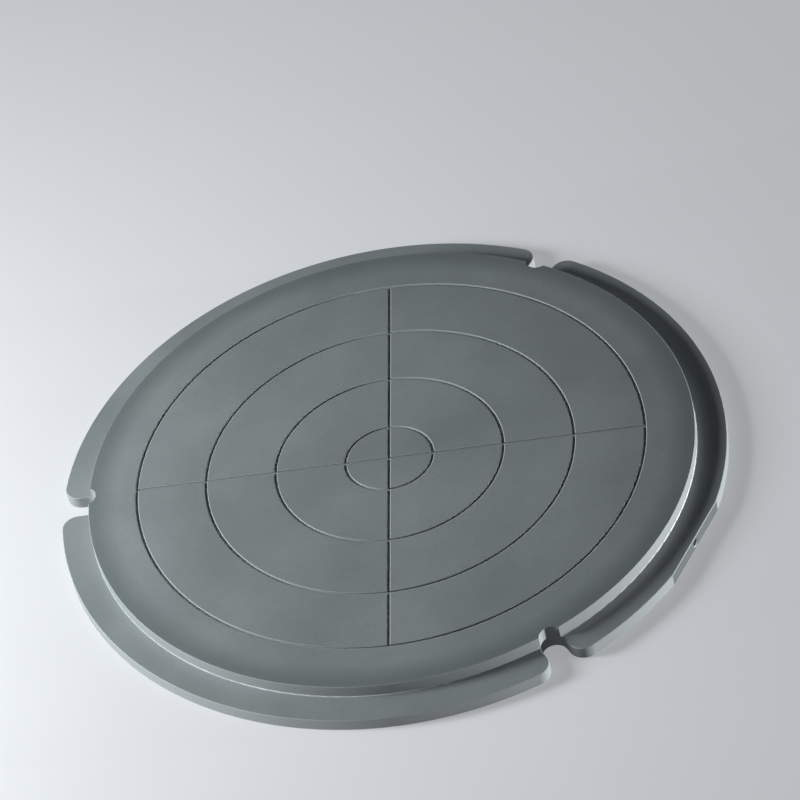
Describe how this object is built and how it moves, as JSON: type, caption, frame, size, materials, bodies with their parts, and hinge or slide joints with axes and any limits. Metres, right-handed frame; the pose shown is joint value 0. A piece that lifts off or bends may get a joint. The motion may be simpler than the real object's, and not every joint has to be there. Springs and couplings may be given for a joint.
{
  "type": "vacuum wafer chuck",
  "caption": "Flat ceramic suction table for a thin wafer: a raised round plateau with ring and cross grooves on a slotted flange with a side port.",
  "frame": {"origin": "centre of the flat back face, on the plate's axis", "axes": "+Z out of the wafer seat, -X through one of the clamp slots, +X midway between the other two, the suction port in the rim 27 degrees clockwise from +X seen from above"},
  "size_m": [0.3793, 0.38, 0.015],
  "materials": {
    "silicon_carbide": "satin"
  },
  "bodies": {
    "root": {"chuck_plate": "silicon_carbide"}
  },
  "joints": []
}
